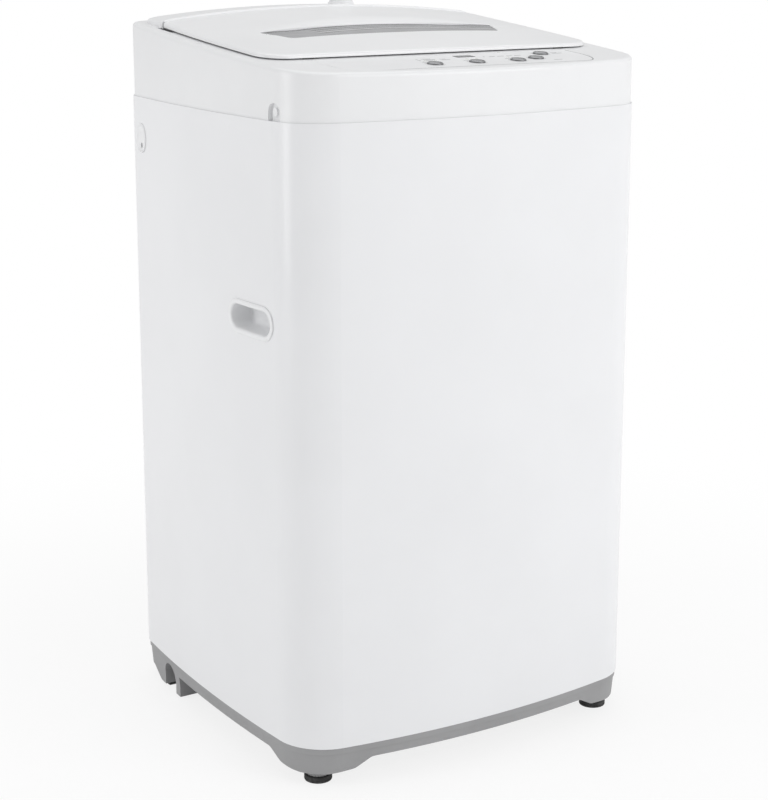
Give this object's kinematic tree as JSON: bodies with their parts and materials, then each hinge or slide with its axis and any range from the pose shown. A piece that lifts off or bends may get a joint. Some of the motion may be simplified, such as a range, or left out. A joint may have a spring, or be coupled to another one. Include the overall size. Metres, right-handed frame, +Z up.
{
  "type": "top load washing machine",
  "caption": "Compact top load washing machine: bowed white case on a grey base, hinged lid with window, push buttons, hung tub, spinning basket and pulsator.",
  "frame": {"origin": "on the floor under the middle of the case", "axes": "+Z up, the front faces -Y, +X to the right of someone facing the front"},
  "size_m": [0.4318, 0.3999, 0.7847],
  "materials": {
    "white_steel": "satin white paint",
    "white_plastic": "semi gloss white moulding",
    "grey_plastic": "matt grey moulding",
    "black_rubber": "matt black rubber",
    "fascia": "satin printed sheet",
    "button_silver": "silver",
    "display_dark": "dark clear sheet",
    "light_lens": "clear lens",
    "window_tint": "tinted clear sheet",
    "board_green": "solder mask",
    "tub_plastic": "natural moulding",
    "dark_plastic": "black moulding",
    "steel": "brushed",
    "alloy": "cast",
    "motor_paint": "dark paint",
    "can": "drawn can"
  },
  "bodies": {
    "case": {"cabinet": "white_steel", "top_frame": "white_plastic", "rear_cover": "white_plastic", "left_handle": "white_plastic", "right_handle": "white_plastic", "hose_hook": "white_plastic", "inlet_valve": "white_plastic", "base": "grey_plastic", "rear_panel": "grey_plastic", "rear_foot_pads": "black_rubber", "sump_bellows": "black_rubber", "drain_hose": "black_rubber", "pressure_hose": "black_rubber", "cord_gland": "black_rubber", "control_overlay": "fascia", "display_window": "display_dark", "indicator_lights": "light_lens", "control_board": "board_green", "fill_spout": "tub_plastic", "drain_pump": "dark_plastic", "drain_outlet": "dark_plastic", "pressure_sensor": "dark_plastic", "lid_switch": "dark_plastic", "suspension_rods": "steel", "suspension_springs": "steel", "corner_brackets": "steel", "case_screws": "steel", "hinge_pins": "steel", "capacitor": "can"},
    "lid": {"lid": "white_plastic", "lid_window": "window_tint", "lid_buffers": "black_rubber"},
    "tub": {"outer_tub": "tub_plastic", "tub_ring": "tub_plastic", "tub_seal": "black_rubber", "drive_plate": "steel", "gearbox": "alloy", "shaft_bearings": "steel", "motor": "motor_paint", "motor_bolts": "steel", "drive_belt": "black_rubber", "suspension_cups": "tub_plastic"},
    "basket": {"basket": "steel", "balance_ring": "tub_plastic", "basket_hub": "alloy", "lint_filter": "tub_plastic"},
    "pulsator": {"pulsator": "tub_plastic", "pulsator_shaft": "steel"},
    "drive_pulley": {"drive_pulley": "alloy"},
    "motor_pulley": {"motor_pulley": "alloy"},
    "pump_impeller": {"pump_impeller": "dark_plastic"},
    "left_foot": {"left_foot_pad": "black_rubber"},
    "left_foot_stud": {"left_foot_stud": "grey_plastic"},
    "right_foot": {"right_foot_pad": "black_rubber"},
    "right_foot_stud": {"right_foot_stud": "grey_plastic"},
    "power_button": {"power_button": "button_silver"},
    "start_button": {"start_button": "button_silver"},
    "cycle_button": {"cycle_button": "button_silver"},
    "level_button": {"level_button": "button_silver"},
    "delay_button": {"delay_button": "button_silver"}
  },
  "joints": [
    {"name": "lid_hinge", "type": "hinge", "parent": "case", "child": "lid", "pos_m": [0, 0.1125, 0.74368], "axis": [-1, 0, 0], "range_deg": [0, 95]},
    {"name": "power_press", "type": "slide", "parent": "case", "child": "power_button", "axis": [0, 0.0847, -0.9964], "range_m": [0, 0.0012], "stiffness_N_per_m": 400, "springref_m": -0.0008},
    {"name": "start_press", "type": "slide", "parent": "case", "child": "start_button", "axis": [0, 0.0847, -0.9964], "range_m": [0, 0.0012], "stiffness_N_per_m": 400, "springref_m": -0.0008},
    {"name": "cycle_press", "type": "slide", "parent": "case", "child": "cycle_button", "axis": [0, 0.0847, -0.9964], "range_m": [0, 0.0012], "stiffness_N_per_m": 400, "springref_m": -0.0008},
    {"name": "level_press", "type": "slide", "parent": "case", "child": "level_button", "axis": [0, 0.0847, -0.9964], "range_m": [0, 0.0012], "stiffness_N_per_m": 400, "springref_m": -0.0008},
    {"name": "delay_press", "type": "slide", "parent": "case", "child": "delay_button", "axis": [0, 0.0847, -0.9964], "range_m": [0, 0.0012], "stiffness_N_per_m": 400, "springref_m": -0.0008},
    {"name": "tub_bob", "type": "slide", "parent": "case", "child": "tub", "axis": [0, 0, 1], "range_m": [-0.012, 0.006], "stiffness_N_per_m": 8000, "springref_m": 0.0195, "deforming": ["suspension_springs", "sump_bellows", "pressure_hose"]},
    {"name": "basket_spin", "type": "hinge", "parent": "tub", "child": "basket", "pos_m": [0, 0, 0.4], "axis": [0, 0, 1], "continuous": true},
    {"name": "drive_pulley_spin", "type": "hinge", "parent": "tub", "child": "drive_pulley", "pos_m": [0, 0, 0.079], "axis": [0, 0, 1], "continuous": true},
    {"name": "motor_pulley_spin", "type": "hinge", "parent": "tub", "child": "motor_pulley", "pos_m": [0.112, 0, 0.079], "axis": [0, 0, 1], "continuous": true},
    {"name": "pulsator_spin", "type": "hinge", "parent": "tub", "child": "pulsator", "pos_m": [0, 0, 0.24], "axis": [0, 0, 1], "continuous": true},
    {"name": "pump_impeller_spin", "type": "hinge", "parent": "case", "child": "pump_impeller", "pos_m": [-0.095, 0.095, 0.09], "axis": [0, 0, 1], "continuous": true},
    {"name": "left_foot_height", "type": "slide", "parent": "case", "child": "left_foot", "axis": [0, 0, -1], "range_m": [0, 0.008]},
    {"name": "left_foot_turn", "type": "hinge", "parent": "left_foot", "child": "left_foot_stud", "pos_m": [-0.1756, -0.154, 0.02], "axis": [0, 0, -1], "continuous": true},
    {"name": "right_foot_height", "type": "slide", "parent": "case", "child": "right_foot", "axis": [0, 0, -1], "range_m": [0, 0.008]},
    {"name": "right_foot_turn", "type": "hinge", "parent": "right_foot", "child": "right_foot_stud", "pos_m": [0.1756, -0.154, 0.02], "axis": [0, 0, -1], "continuous": true}
  ],
  "couplings": [
    {"joint": "motor_pulley_spin", "follows": "drive_pulley_spin", "ratio": 2.7},
    {"joint": "pulsator_spin", "follows": "drive_pulley_spin", "ratio": 0.25},
    {"joint": "left_foot_turn", "follows": "left_foot_height", "rad_per_m": 4188.8},
    {"joint": "right_foot_turn", "follows": "right_foot_height", "rad_per_m": 4188.8}
  ]
}
